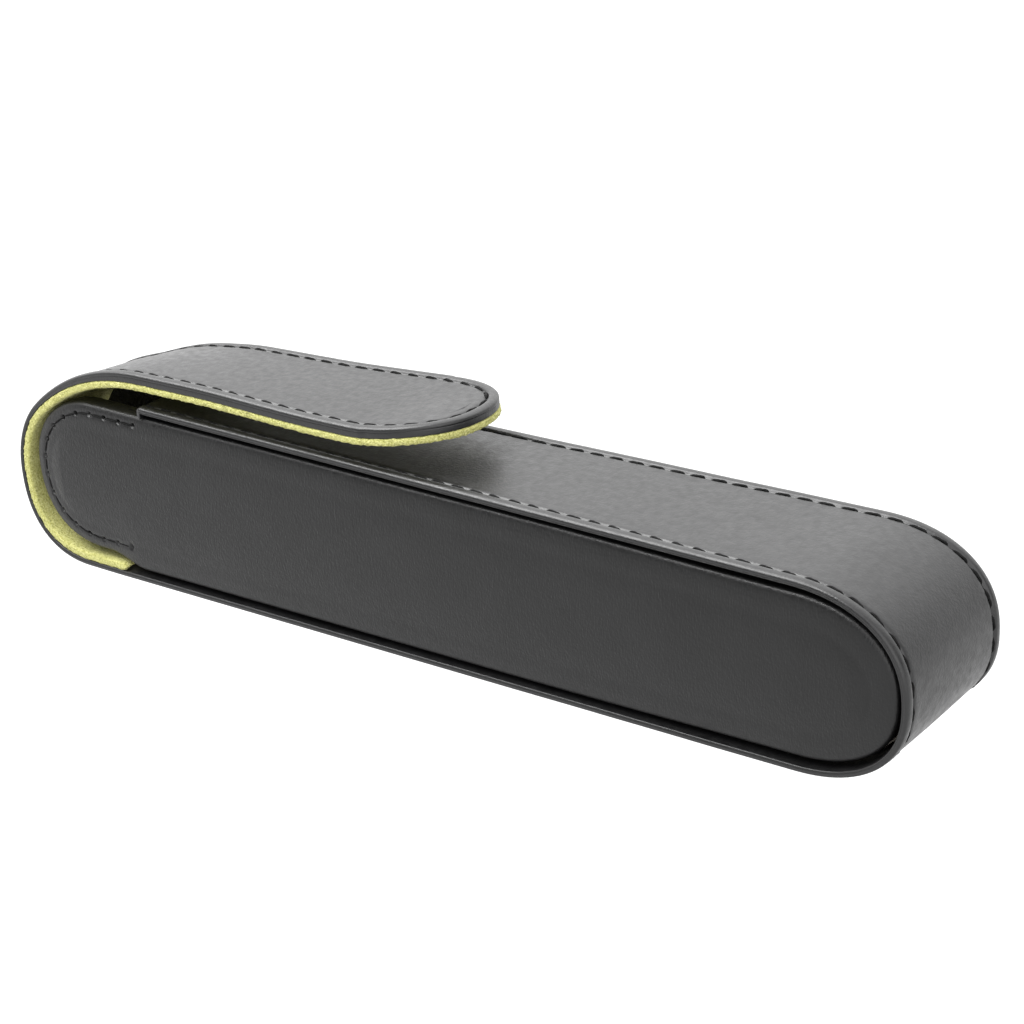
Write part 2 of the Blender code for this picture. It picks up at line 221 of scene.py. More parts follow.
def read_off(values, along, place):
    """The values, given at the lengths along, at one place between them."""
    return np.array([np.interp(place, along, column) for column in values.T])


def left_normals(points):
    """Unit vectors to the left of a line's direction."""
    ahead = np.gradient(np.array(points, float), axis=0)
    ahead /= np.linalg.norm(ahead, axis=1)[:, None]
    return np.stack([-ahead[:, 1], ahead[:, 0]], axis=1)


# ---------------------------------------------------------------- meshes


def oriented(points, faces):
    """The faces, turned over if they enclose a negative volume."""
    volume = 0.0
    for face in faces:
        first = points[face[0]]
        for a, b in zip(face[1:-1], face[2:]):
            volume += np.dot(first, np.cross(points[a], points[b]))
    return faces if volume > 0 else [face[::-1] for face in faces]


def make_piece(name, points, faces, finish, normals=None):
    mesh = bpy.data.meshes.new(name)
    mesh.from_pydata([tuple(p) for p in np.array(points) * MM], [], faces)
    mesh.shade_smooth()
    if normals is not None:
        mesh.normals_split_custom_set_from_vertices([tuple(n) for n in normals])
    mesh.materials.append(finish)
    piece = bpy.data.objects.new(name, mesh)
    bpy.context.scene.collection.objects.link(piece)
    return piece


class Rings:
    """Closed loops of points, one after the other along a run.

    Each loop is a half and the other half in reverse, so that point k faces point -1 - k.
    A zipped end joins the two halves of its last loop. A plain end gets a flat cap.
    upper and lower are how many points of a half, at its start and at its end, cross the middle.
    """

    def __init__(self, halves, upper, lower):
        self.rings = np.array([list(near) + list(far)[::-1] for near, far in halves], float)
        self.upper, self.lower = upper, lower

    def side_faces(self, first, last):
        size = self.rings.shape[1]
        faces = []
        for ring in range(last - first):
            for k in range(size):
                after = (k + 1) % size
                low, high = ring * size, (ring + 1) * size
                faces.append([low + k, low + after, high + after, high + k])
        return faces

    def zip_faces(self, ring, turned):
        size = self.rings.shape[1]
        half = size // 2
        start = ring * size
        far = [size - 1 - k for k in range(half)]
        first, last = self.upper + 1, half - 2 - self.lower
        top = list(range(first, -1, -1)) + far[: first + 1]
        bottom = far[last:] + list(range(half - 1, last - 1, -1))
        faces = [top, bottom]
        faces += [[k + 1, k, far[k], far[k + 1]] for k in range(first, last)]
        faces = [[start + k for k in face] for face in faces]
        return faces if turned else [face[::-1] for face in faces]

    def mesh(self, first, last, zip_first=False, zip_last=False):
        size = self.rings.shape[1]
        points = self.rings[first : last + 1].reshape(-1, 3)
        faces = self.side_faces(first, last)
        ends = [(0, zip_first, True), (last - first, zip_last, False)]
        for ring, zipped, turned in ends:
            if zipped:
                faces += self.zip_faces(ring, turned)
            else:
                cap = [ring * size + k for k in range(size)]
                faces.append(cap[::-1] if turned else cap)
        return points, oriented(points, faces)

    def whole(self, zipped):
        """The mesh of the whole run, with both ends zipped or both capped."""
        return self.mesh(0, len(self.rings) - 1, zipped, zipped)

    def normals(self):
        """Smooth normals of a run with a zipped last end, so that the pieces cut from it shade as one."""
        count, size = self.rings.shape[:2]
        points = self.rings.reshape(-1, 3)
        faces = self.side_faces(0, count - 1) + self.zip_faces(count - 1, False)
        faces = oriented(points, faces)
        total = np.zeros_like(points)
        for face in faces:
            corners = points[face]
            total[face] += sum(np.cross(corners[k - 1], corners[k]) for k in range(len(face)))
        total /= np.maximum(np.linalg.norm(total, axis=1), 1e-12)[:, None]
        return total.reshape(count, size, 3)


# ---------------------------------------------------------------- the strip's line


def body_line():
    """The band's outer face, from its folded end along the top, round the closed end and back below."""
    centre = (END_X, HEIGHT / 2)
    bend = superellipse(centre, END_DEPTH, HEIGHT / 2, END_EXPONENT, np.linspace(0, math.pi, 241))
    top = [(x, HEIGHT) for x in np.linspace(BAND_START_X, END_X, 60)[:-1]]
    low = [(x, 0.0) for x in np.linspace(END_X, HEEL_X, 60)[1:]]
    return [(x, z * height_scale(x)) for x, z in top + bend + low]


def arc(centre, radius, start, turn):
    angles = np.linspace(start, start - turn, 60)
    return [(centre[0] + radius * math.cos(a), centre[1] + radius * math.sin(a)) for a in angles]


def flap_lines():
    """The flap's outer face in three stretches: heel, crown and the tongue up to its rounded end."""
    low_centre = (-LENGTH / 2 + BEND_LOW_RADIUS, BEND_LOW_RADIUS)
    low_angles = np.linspace(math.pi, math.pi / 2, 60)
    heel = superellipse(low_centre, -BEND_LOW_RADIUS, BEND_LOW_RADIUS, LOW_FULLNESS, low_angles)
    heel.insert(0, (HEEL_X, 0.0))
    mid_centre = (-LENGTH / 2 + BEND_MID_RADIUS, BEND_LOW_RADIUS)
    mid = arc(mid_centre, BEND_MID_RADIUS, -math.pi, BEND_MID_ANGLE)
    rest = math.pi / 2 - BEND_MID_ANGLE
    radius = (FLAP_TOP_Z - mid[-1][1]) / (1 - math.cos(rest))
    centre = (mid[-1][0] + radius * math.sin(rest), FLAP_TOP_Z - radius)
    top = arc(centre, radius, -math.pi - BEND_MID_ANGLE, rest)
    fold = (TONGUE_HINGE_X, centre[1] + math.sqrt(radius**2 - (TONGUE_HINGE_X - centre[0]) ** 2))
    crown = mid + [p for p in top[1:] if p[0] < TONGUE_HINGE_X] + [fold]
    tongue = [fold] + [p for p in top if p[0] > TONGUE_HINGE_X]
    tongue.append((TONGUE_TIP_X - TONGUE_END_DEPTH, FLAP_TOP_Z))
    return heel, crown, tongue


def flap_half_width(x):
    inset = FLAP_EDGE_INSET * (1 - smoothstep(*FLAP_WIDENING, x))
    return (WIDTH / 2 - inset) * width_scale(x)


def tongue_end_plan():
    """The tongue's rounded end from above, as (x, distance from the middle).

    It runs from the tongue's front edge round the tip to its back edge.
    """
    centre = (TONGUE_TIP_X - TONGUE_END_DEPTH, 0.0)
    half = WIDTH / 2 - FLAP_EDGE_INSET
    angles = np.linspace(0, math.pi, 401)
    outline = superellipse(centre, TONGUE_END_DEPTH, half, TONGUE_END_EXPONENT, angles)
    return [(x, y * width_scale(x)) for x, y in outline]


class Station:
    """A place on the strip's outer face.

    It has the point on the middle line, the way out, the half width and the way in from the edge.
    """

    def __init__(self, point, out, half_width, inwards=(0.0, 1.0)):
        self.x, self.z = point
        self.out = out
        self.half_width = half_width
        self.inwards = inwards

    def place(self, inset, lift, share=1.0):
        """A point inset from the front edge and lifted off the outer face.

        share scales its distance from the middle.
        """
        x = self.x + self.inwards[0] * inset + self.out[0] * lift
        y = -(self.half_width - self.inwards[1] * inset) * share
        return (x, y, self.z + self.out[1] * lift)


def strip_stations(spacings):
    """All stations from the band's folded end to the tongue's tip, and where each piece starts."""
    band_step, flap_step, end_step = spacings
    lines = [resampled(body_line(), band_step)]
    lines += [resampled(line, flap_step) for line in flap_lines()]
    starts = np.cumsum([0] + [len(line) - 1 for line in lines])
    points = np.concatenate([lines[0]] + [line[1:] for line in lines[1:]])
    outs = left_normals(points)
    stations = []
    for index, (point, out) in enumerate(zip(points, outs)):
        in_band = index <= starts[1]
        half = WIDTH / 2 * width_scale(point[0]) if in_band else flap_half_width(point[0])
        stations.append(Station(point, out, half))
    plan = np.array(tongue_end_plan())
    front = len(plan) // 2 + 1
    inward = -left_normals(plan)[:front]
    plan = plan[:front]
    along = line_lengths(plan)
    for length in np.linspace(0, along[-1], round(along[-1] / end_step) + 1)[1:-1]:
        x, half = read_off(plan, along, length)
        way = read_off(inward, along, length)
        way /= np.linalg.norm(way)
        stations.append(Station((x, FLAP_TOP_Z), (0.0, 1.0), half, (way[0], -way[1])))
    return stations, starts


def drooped(point):
    """Where a point of the flat flap really lies.

    The front edge sags, the back edge is twisted down past the bend, and the tip turns up.
    """
    x, y, z = point
    front = -FRONT_SAG * smoothstep(*SAGGING, x) + FRONT_TIP_RISE * smoothstep(*FRONT_RISING, x)
    past_bend = smoothstep(*SINKING, x)
    back = -past_bend * (BACK_SINK + BACK_TWIST * (1 - smoothstep(*TWIST_ENDING, x)))
    back += BACK_TIP_RISE * smoothstep(*BACK_RISING, x)
    share = min(1.0, max(0.0, 0.5 + y / (WIDTH * width_scale(x))))
    return (x, y, z + front + (back - front) * share)


MIDDLE_SHARES = (0.08, 0.24, 0.4, 0.55, 0.7, 0.85)


def tongue_growth(x):
    """How much of the tongue's extra thickness the flap has here."""
    return smoothstep(*THICKENING, x)


def leather_half(station, rim, sheet=SHEET):
    """Half a loop of the leather, from the middle of its face round the edge and back below.

    Underneath, where the case rests on it, the bead is flat and the corner tighter.
    """
    up = min(1.0, 1 + station.out[1])
    bead, corner = BEAD_HEIGHT * up, 0.4 + 0.6 * up
    face = CHANNEL_SIDE
    channel = [
        (RIM_WIDTH, face), (2.7, face + 0.01), (2.3, face - 0.03), (2.1, -0.22), (1.98, -0.36),
        (SEAM_INSET, -0.4), (1.72, -0.36), (1.6, -0.22),
    ]
    rolled_edge = [
        (1.45, bead - 0.1), (1.25, bead - 0.02), (0.95, bead), (0.66, bead - 0.02),
        (0.4 * corner, bead - 0.08 * corner), (0.19 * corner, bead - 0.18 * corner),
        (0.05, bead - 0.31 * corner), (0.0, -0.42), (0.0, -0.58),
    ]
    crease_and_lip = [
        (0.07, -0.66), (0.07, -0.72), (0.0, -0.8), (0.0, -rim + 0.1), (0.06, -rim + 0.02),
        (0.24, -rim), (0.9, -rim),
    ]
    below = [(1.7, -sheet), (RIM_WIDTH, -sheet)]
    half = []
    for share in MIDDLE_SHARES:
        half.append(station.place(RIM_WIDTH, face + FACE_CROWN * (1 - share**2), share))
    for inset, lift in channel + rolled_edge + crease_and_lip + below:
        half.append(station.place(inset, lift))
    half += [station.place(RIM_WIDTH, -sheet, share) for share in MIDDLE_SHARES[::-1]]
    return half


def mirrored(half):
    return [(x, -y, z) for x, y, z in half]


def strip_rings(halves):
    """Loops across the strip from their front halves."""
    middle = len(MIDDLE_SHARES)
    return Rings([(half, mirrored(half)) for half in halves], middle, middle)


def flap_rings(halves, crown_start):
    """The same, laid as the flap really lies from crown_start on."""
    rings = strip_rings(halves)
    for ring in rings.rings[crown_start + 1 :]:
        ring[:] = [drooped(point) for point in ring]
    return rings


def fold_loops():
    """The band's first loops, which round its folded end.

    Each one has how far back it is and how much of its height is left.
    """
    angles = np.radians([80, 62, 45, 30, 15, 0])
    return [(FOLD_RADIUS * (1 - math.sin(a)), math.cos(a)) for a in angles]


def leather_rings(stations, starts):
    """The leather's loops from the folded end to the tongue's tip, and where each piece starts."""
    start = stations[0]
    middle = start.z - FOLD_RADIUS
    halves = []
    for back, left in fold_loops():
        half_width = start.half_width - FOLD_NARROWING * (1 - left)
        moved = Station((start.x + back, start.z), start.out, half_width)
        half = leather_half(moved, 2 * FOLD_RADIUS, 2 * FOLD_RADIUS)
        halves.append([(x, y, middle + (z - middle) * left) for x, y, z in half])
    behind = Station((start.x + FOLD_RADIUS + CLOSEST_LOOPS, start.z), start.out, start.half_width)
    halves.append(leather_half(behind, BAND_RIM))
    skipped = sum(s.x < start.x + FOLD_RADIUS + CLEAR_OF_FOLD for s in stations[:10])
    for index, station in enumerate(stations[skipped:], skipped):
        grown = tongue_growth(station.x) if index > starts[2] else 0
        halves.append(leather_half(station, BAND_RIM + (TONGUE_RIM - BAND_RIM) * grown))
    extra = len(halves) - len(stations)
    rings = flap_rings(halves, starts[2] + extra)
    for ring in rings.rings:
        for point in ring:
            point[2] += WAVE_HEIGHT * noise.noise(Vector(point) / WAVE_SPACING)
    return rings, [start + extra if start else 0 for start in starts]


def suede_half(station, top, depth, proud):
    """Half a loop of lining. proud is how far its soft cut edge stands out past the leather's."""
    inner_top = max(top, SHEET + LAYER_GAP)
    inner_depth = max(depth, inner_top + LINING)
    middle = (top + depth) / 2
    upper_edge = [
        (LINING_RIM_WIDTH, -inner_top), (1.9, -inner_top), (1.0, -top), (0.45, -top),
        (0.2, -top - 0.03), (0.06, -top - 0.12), (0.0, -top - 0.3),
    ]
    lower_edge = [
        (-0.02, -middle), (0.0, -depth + 0.3), (0.06, -depth + 0.12), (0.2, -depth + 0.03),
        (0.45, -depth), (0.8, -depth), (1.2, -depth), (1.9, -(depth + inner_depth) / 2),
        (2.6, -inner_depth), (LINING_RIM_WIDTH, -inner_depth),
    ]
    inner_edge = LINING_RIM_WIDTH - proud
    half = [station.place(inner_edge, -inner_top, share) for share in MIDDLE_SHARES]
    half += [station.place(inset - proud, lift) for inset, lift in upper_edge + lower_edge]
    half += [station.place(inner_edge, -inner_depth, share) for share in MIDDLE_SHARES[::-1]]
    return half


def suede_rings(stations, starts, first):
    """The loops of the flap's lining, from station first to the tongue's tip."""
    halves = []
    for index, station in enumerate(stations[first:], first):
        grown = tongue_growth(station.x) if index > starts[2] else 0
        top = BAND_RIM + LAYER_GAP + (TONGUE_RIM - BAND_RIM) * grown
        depth = BEND_LINING_DEPTH + (TONGUE_LINING_DEPTH - BEND_LINING_DEPTH) * grown
        proud = -LINING_BEND_SHY
        if index > starts[2]:
            proud = LINING_TIP_PROUD * smoothstep(*PROUD_GROWING, station.x)
        half = suede_half(station, top, depth, proud)
        halves.append(rounded_start(half, station, (top + depth) / 2, stations[first]))
    rings = flap_rings(halves, starts[2] - first)
    fuzz(rings.rings)
    return rings


def rounded_start(half, station, middle, start):
    """Thins a loop that is near the lining's end at start, so that this end is round."""
    gone = 1 - min(1.0, math.dist((station.x, station.z), (start.x, start.z)) / LINING)
    left = max(0.12, math.sqrt(1 - gone**2))
    heart = np.array(station.place(0, -middle))
    out = np.array((station.out[0], 0.0, station.out[1]))
    thinned = []
    for point in np.array(half):
        thinned.append(tuple(point - out * np.dot(point - heart, out) * (1 - left)))
    return thinned


def band_lining_rings(stations):
    """The suede inside the band, which ends a little short of the band at both ends."""
    start_x, end_x = BAND_START_X + BAND_LINING_SHORT, HEEL_X + BAND_LINING_SHORT
    inside = [s for s in stations if s.z > HEIGHT / 2 and s.x > start_x]
    inside += [s for s in stations if s.z <= HEIGHT / 2 and s.x > end_x]
    halves = []
    for station in inside:
        edge = station.half_width - BAND_LINING_HALF_WIDTH * width_scale(station.x)
        half = suede_half(station, BAND_LINING_TOP, BAND_LINING_TOP + LINING, -edge)
        half = rounded_start(half, station, BAND_LINING_TOP + LINING / 2, inside[0])
        halves.append(rounded_start(half, station, BAND_LINING_TOP + LINING / 2, inside[-1]))
    rings = strip_rings(halves)
    fuzz(rings.rings)
    return rings


def fuzz(rings):
    """Moves points a little at random, for the cut edge of suede."""
    source = random.Random(7)
    half = rings.shape[1] // 2
    edge = range(len(MIDDLE_SHARES) + 3, half - len(MIDDLE_SHARES) - 3)
    for ring in rings:
        for k in edge:
            for at in (k, 2 * half - 1 - k):
                ring[at] += [source.gauss(0, FUZZ) for _ in range(3)]


# ---------------------------------------------------------------- side panels


def upper_inset(x):
    """How far inside the band's outer face the panel's upper edge is: further in at the closed end."""
    return PANEL_INSET + (PANEL_END_INSET - PANEL_INSET) * smoothstep(*PANEL_END_TAPER, x)


def lower_inset(x):
    """The same for the lower edge, which is also raised over the flap's lining at the mouth."""
    return upper_inset(x) + (PANEL_HEEL_INSET - PANEL_INSET) * (1 - smoothstep(*HEEL_STEP, x))


def panel_pairs(inset, spacings):
    """Matching points of a panel's upper and lower edges, from its closed end to its mouth end.

    Each is a point and the way in, in the side view.
    """
    turn = np.linspace(math.pi / 2, 0, 161)
    centre = (END_X, HEIGHT / 2)
    reach, half = END_DEPTH - PANEL_INSET - inset, HEIGHT / 2 - PANEL_END_INSET - inset
    end_top = superellipse(centre, reach, half, END_EXPONENT, turn)
    end_low = [(x, HEIGHT - z) for x, z in end_top]
    mouth_centre_x = PANEL_MOUTH_X + PANEL_MOUTH_DEPTH
    xs = np.linspace(END_X, mouth_centre_x, 401)[1:-1]
    run_top = [(x, HEIGHT - upper_inset(x) - inset) for x in xs]
    run_low = [(x, lower_inset(x) + inset) for x in xs]
    top_z, low_z = HEIGHT - PANEL_INSET - inset, PANEL_HEEL_INSET + inset
    centre = (mouth_centre_x, (top_z + low_z) / 2)
    reach, half = inset - PANEL_MOUTH_DEPTH, (top_z - low_z) / 2
    mouth = superellipse(centre, reach, half, 2, turn[::-1])
    mouth_low = superellipse(centre, reach, -half, LOW_FULLNESS, turn[::-1])
    top = np.array([(x, z * height_scale(x)) for x, z in end_top + run_top + mouth])
    low = np.array([(x, z * height_scale(x)) for x, z in end_low + run_low + mouth_low])
    top_in, low_in = left_normals(top), -left_normals(low)
    along = line_lengths(top)
    mouth_start = int(np.argmin(abs(top[:, 0] - PANEL_MOUTH_STRETCH_X)))
    marks = [0, len(end_top) - 1, mouth_start, len(top) - 1]
    wanted = []
    for (a, b), step in zip(zip(marks[:-1], marks[1:]), spacings):
        stretch = along[b] - along[a]
        wanted += list(np.linspace(along[a], along[b], round(stretch / step) + 1)[:-1])
    pairs = []
    for length in wanted[1:]:
        pair = []
        for line, ways in ((top, top_in), (low, low_in)):
            way = read_off(ways, along, length)
            pair.append((read_off(line, along, length), way / np.linalg.norm(way)))
        pairs.append(pair)
    return pairs


PANEL_SHARES = (0.07, 0.2, 0.34, 0.47, 0.6, 0.72, 0.83, 0.92)


def panel_half(own, other, profile, crown, face_in, sign):
    """Half a loop of a panel piece, from the middle of its face to its edge and back inside.

    profile holds (inset, way out) pairs. face_in is how far in the face lies, and crown how far
    its middle swells where the panel is tall.
    """
    (point, way), (facing, facing_way) = own, other

    def place(inset, out, share=1.0, bulge=0.0):
        here = point + way * inset
        there = facing + facing_way * inset
        middle = (here + there) / 2
        spot = middle + (here - middle) * share
        y = sign * (PANEL_FACE * width_scale(spot[0]) - face_in + out + bulge)
        return (spot[0], y, spot[1])

    first, last = profile[0], profile[-1]
    swell = min(1.0, abs(point[1] - facing[1]) / FULL_CROWN_HEIGHT) ** 1.5 * crown
    half = [place(*first, share, swell * (1 - share**2.5)) for share in PANEL_SHARES]
    half += [place(inset, out) for inset, out in profile]
    half += [place(*last, share, swell * (1 - share**2.5)) for share in PANEL_SHARES[::-1]]
    return half


def panel_rings(profile, crown, face_in, sign, inset, spacings):
    """Loops round a panel piece. sign is -1 for the front panel and 1 for the back one."""
    halves = []
    for top, low in panel_pairs(inset, spacings):
        upper = panel_half(top, low, profile, crown, face_in, sign)
        lower = panel_half(low, top, profile, crown, face_in, sign)
        halves.append((upper, lower))
    return Rings(halves, len(PANEL_SHARES), len(PANEL_SHARES))


def mouth_seam():
    """The sewn line round a panel's free end as (x, z), from its upper end to its lower one."""
    (top_x, top_z), (low_x, low_z) = MOUTH_SEAM_TOP, MOUTH_SEAM_LOW
    centre = (MOUTH_SEAM_CENTRE_X, (top_z + low_z) / 2)
    half = (top_z - low_z) / 2
    line = [(x, top_z) for x in np.linspace(top_x, centre[0], 20)[:-1]]
    upper, lower = np.linspace(0, math.pi / 2, 60)[:-1], np.linspace(math.pi / 2, math.pi, 60)
    line += superellipse(centre, -MOUTH_SEAM_DEPTH, half, 2, upper)
    line += superellipse(centre, -MOUTH_SEAM_DEPTH, half, LOW_FULLNESS, lower)
    line += [(x, low_z) for x in np.linspace(centre[0], low_x, 14)[1:]]
    return np.array([(x, z * height_scale(x)) for x, z in line])


# A cover's section as (inset, way out): its face, the rolled edge, the side and the turned-in edge
COVER_PROFILE = [
    (4.2, 0.0), (3.6, -0.02), (3.1, -0.05), (2.8, -0.07), (2.6, -0.09), (2.4, -0.11), (2.2, -0.13),
    (2.0, -0.16), (1.8, -0.19), (1.6, -0.22), (1.4, -0.25), (1.2, -0.29), (1.0, -0.33), (0.8, -0.38),
    (0.62, -0.44), (0.45, -0.52), (0.28, -0.64), (0.14, -0.82), (0.05, -1.05), (0.0, -1.4),
    (0.0, -2.2), (0.02, -3.6), (0.15, -3.7), (0.85, -3.7),
    (1.0, -3.6), (1.0, -1.4), (1.3, -1.25), (2.5, -1.2),
]
PAD_PROFILE = [
    (0.8, 0.0), (0.3, 0.0), (0.06, -0.1), (0.0, -0.3), (0.06, -0.5), (0.3, -0.6), (0.8, -0.6),
]
PANEL_LINING_PROFILE = [
    (1.0, 0.0), (0.4, 0.0), (0.1, -0.06), (0.0, -0.3), (0.1, -0.54), (0.4, -0.6), (1.0, -0.6),
]


def sewn(rings, sign):
    """Presses the sewn channel and the needle holes of the mouth seam into a cover's face."""
    seam = mouth_seam()
    holes = resampled(seam, MOUTH_PITCH)
    for ring in rings:
        for point in ring:
            face = PANEL_FACE * width_scale(point[0])
            if point[0] > MOUTH_SEAM_TOP[0] + SEAM_REACH or abs(point[1]) < face - FACE_DEPTH:
                continue
            place = np.array((point[0], point[2]))
            to_seam = np.min(np.linalg.norm(seam - place, axis=1))
            to_hole = np.min(np.linalg.norm(holes - place, axis=1))
            depth = CHANNEL_DEPTH * math.exp(-((to_seam / CHANNEL_WIDTH) ** 2))
            depth += HOLE_DEPTH * math.exp(-((to_hole / HOLE_RADIUS) ** 4))
            point[1] -= sign * depth


# ---------------------------------------------------------------- stitches


def stitches(line, outs, pitch, length, radius, slant, sink):
    """Twisted thread lying between needle holes along a line.

    outs are the ways out of the leather. A stitch lies at a slant and sinks at its ends. Each one
    differs a little at random in its place, length and slant.
    """
    line, outs = np.array(line, float), np.array(outs, float)
    along = line_lengths(line)
    count = max(1, round(along[-1] / pitch))
    step = along[-1] / count
    sides, pieces_along = 8, 11
    points, faces = [], []
    source = random.Random(11)

    for number in range(count):
        middle = (number + 0.5) * step + source.uniform(-0.08, 0.08)
        reach = length / 2 * source.uniform(0.88, 1.08)
        tilt = slant * source.uniform(0.2, 1.8)
        ahead = read_off(line, along, middle + 0.3) - read_off(line, along, middle - 0.3)
        ahead /= np.linalg.norm(ahead)
        start = len(points)
        for along_piece in range(pieces_along):
            u = -1 + 2 * along_piece / (pieces_along - 1)
            place = min(max(middle + u * reach, 0), along[-1])
            out = read_off(outs, along, place)
            out /= np.linalg.norm(out)
            across = np.cross(ahead, out)
            centre = read_off(line, along, place) + across * tilt * u
            centre += out * (0.6 * radius - sink * abs(u) ** 4)
            thick = radius * (1 - 0.35 * abs(u) ** 3)
            for side in range(sides):
                angle = 2 * math.pi * side / sides
                lobe = 1 + 0.14 * math.cos(2 * angle - 7 * u)
                spoke = across * math.cos(angle) + out * 0.85 * math.sin(angle)
                points.append(centre + spoke * thick * lobe)
        for ring in range(pieces_along - 1):
            for side in range(sides):
                a = start + ring * sides + side
                b = start + ring * sides + (side + 1) % sides
                faces.append([a, b, b + sides, a + sides])
        end = start + (pieces_along - 1) * sides
        faces.append([start + side for side in range(sides)][::-1])
        faces.append([end + side for side in range(sides)])
    return points, oriented(np.array(points), faces)


def seam_on(stations):
    """The front seam's line and its ways out, over these stations, before the flap droops."""
    line = [station.place(SEAM_INSET, -SEAM_DEPTH) for station in stations]
    outs = [(station.out[0], 0.0, station.out[1]) for station in stations]
    return line, outs


# ---------------------------------------------------------------- materials


def map_range(tree, value, source, target, interpolation="LINEAR"):
    """Carries a node value from one range to another. Both are (low, high)."""
    made = tree.nodes.new("ShaderNodeMapRange")
    made.interpolation_type = interpolation
    for socket, number in zip(("From Min", "From Max", "To Min", "To Max"), (*source, *target)):
        made.inputs[socket].default_value = number
    tree.links.new(value, made.inputs["Value"])
    return made.outputs["Result"]


class Finish:
    """Builds one node material from a Principled shader."""

    def __init__(self, name, colour, roughness, **sockets):
        self.material = bpy.data.materials.new(name)
        self.material.use_nodes = True
        self.tree = self.material.node_tree
        self.shader = self.tree.nodes["Principled BSDF"]
        self.shader.inputs["Base Color"].default_value = (*colour, 1)
        self.shader.inputs["Roughness"].default_value = roughness
        for socket, value in sockets.items():
            self.shader.inputs[socket.replace("_", " ")].default_value = value
        self.material.diffuse_color = (*colour, 1)
        self.place = self.node("ShaderNodeTexCoord").outputs["Object"]
        self.normal = None

    def node(self, kind, **values):
        made = self.tree.nodes.new(kind)
        for key, value in values.items():
            if hasattr(made, key):
                setattr(made, key, value)
            else:
                made.inputs[key.replace("_", " ")].default_value = value
        return made

    def link(self, output, socket):
        self.tree.links.new(output, socket)

    def turned(self, angles, scale):
        """The place in the object, turned by angles in degrees and scaled."""
        mapping = self.node("ShaderNodeMapping")
        mapping.inputs["Rotation"].default_value = [math.radians(a) for a in angles]
        mapping.inputs["Scale"].default_value = scale
        self.link(self.place, mapping.inputs["Vector"])
        return mapping.outputs["Vector"]

    def noise(self, size, detail, place=None, distortion=0.0):
        """Noise whose features are about size millimetres."""
        scale = 1 / (size * MM)
        made = self.node("ShaderNodeTexNoise", Scale=scale, Detail=detail, Distortion=distortion)
        self.link(place or self.place, made.inputs["Vector"])
        return made.outputs["Fac"]

    def cells(self, size):
        """Soft cells about size millimetres across."""
        made = self.node("ShaderNodeTexVoronoi", feature="SMOOTH_F1", Scale=1 / (size * MM))
        self.link(self.place, made.inputs["Vector"])
        return made.outputs["Distance"]

    def paint(self, value, stops):
        """Colours the surface by a value. stops are (value, colour) pairs."""
        made = self.node("ShaderNodeValToRGB")
        ramp = made.color_ramp
        while len(ramp.elements) < len(stops):
            ramp.elements.new(0.5)
        for element, (position, colour) in zip(ramp.elements, stops):
            element.position = position
            element.color = (*colour, 1)
        self.link(value, made.inputs["Fac"])
        self.link(made.outputs["Color"], self.shader.inputs["Base Color"])

    def roughen(self, value, smoothest, roughest):
        """Lets the roughness vary between two values as a noise does."""
        roughness = map_range(self.tree, value, (0.3, 0.7), (smoothest, roughest))
        self.link(roughness, self.shader.inputs["Roughness"])

    def bump(self, height, distance):
        """Adds a layer of relief that is about distance millimetres deep."""
        made = self.node("ShaderNodeBump", Strength=1.0, Distance=distance * MM)
        self.link(height, made.inputs["Height"])
        if self.normal:
            self.link(self.normal, made.inputs["Normal"])
        self.normal = made.outputs["Normal"]
        self.link(self.normal, self.shader.inputs["Normal"])


def band_leather():
    """Smooth black leather with a fine pebble, a little glossy."""
    finish = Finish("band_leather", (0.012, 0.012, 0.013), 0.4, IOR=1.5, Specular_IOR_Level=0.5)
    dark, light = (0.0030, 0.0030, 0.0032), (0.0050, 0.0050, 0.0053)
    finish.paint(finish.noise(14, 2), [(0.35, dark), (0.65, light)])
    finish.roughen(finish.noise(1.2, 4), 0.33, 0.47)
    finish.bump(finish.noise(4.0, 2), 0.015)
    finish.bump(finish.cells(0.4), 0.024)
    finish.bump(finish.noise(0.18, 2), 0.02)
    return finish.material


def panel_leather():
    """The panels' leather, matt and finely creased."""
    finish = Finish("panel_leather", (0.014, 0.014, 0.015), 0.4, IOR=1.5, Specular_IOR_Level=0.37)
    dark, light = (0.0018, 0.0018, 0.0019), (0.0034, 0.0034, 0.0036)
    finish.paint(finish.noise(9, 3), [(0.35, dark), (0.7, light)])
    finish.roughen(finish.noise(0.8, 4), 0.34, 0.47)
    slanting = finish.turned((0, 35, 0), (2.6, 1, 0.6))
    finish.bump(finish.noise(0.6, 3, slanting, distortion=0.5), 0.055)
    finish.bump(finish.cells(0.4), 0.03)
    finish.bump(finish.noise(0.16, 2), 0.014)
    return finish.material


def lime_suede():
    """Lime suede: matt, with a short nap that catches light unevenly."""
    finish = Finish("lime_suede", (0.5, 0.5, 0.15), 0.95, Sheen_Weight=0.25, Sheen_Roughness=0.5)
    finish.shader.inputs["Sheen Tint"].default_value = (0.9, 0.9, 0.5, 1)
    finish.shader.inputs["Specular IOR Level"].default_value = 0.1
    nap = finish.noise(0.3, 4, distortion=0.8)
    dark, middle, light = (0.19, 0.188, 0.048), (0.35, 0.343, 0.12), (0.47, 0.455, 0.205)
    finish.paint(nap, [(0.32, dark), (0.5, middle), (0.68, light)])
    finish.bump(finish.noise(0.9, 3), 0.12)
    finish.bump(nap, 0.22)
    return finish.material


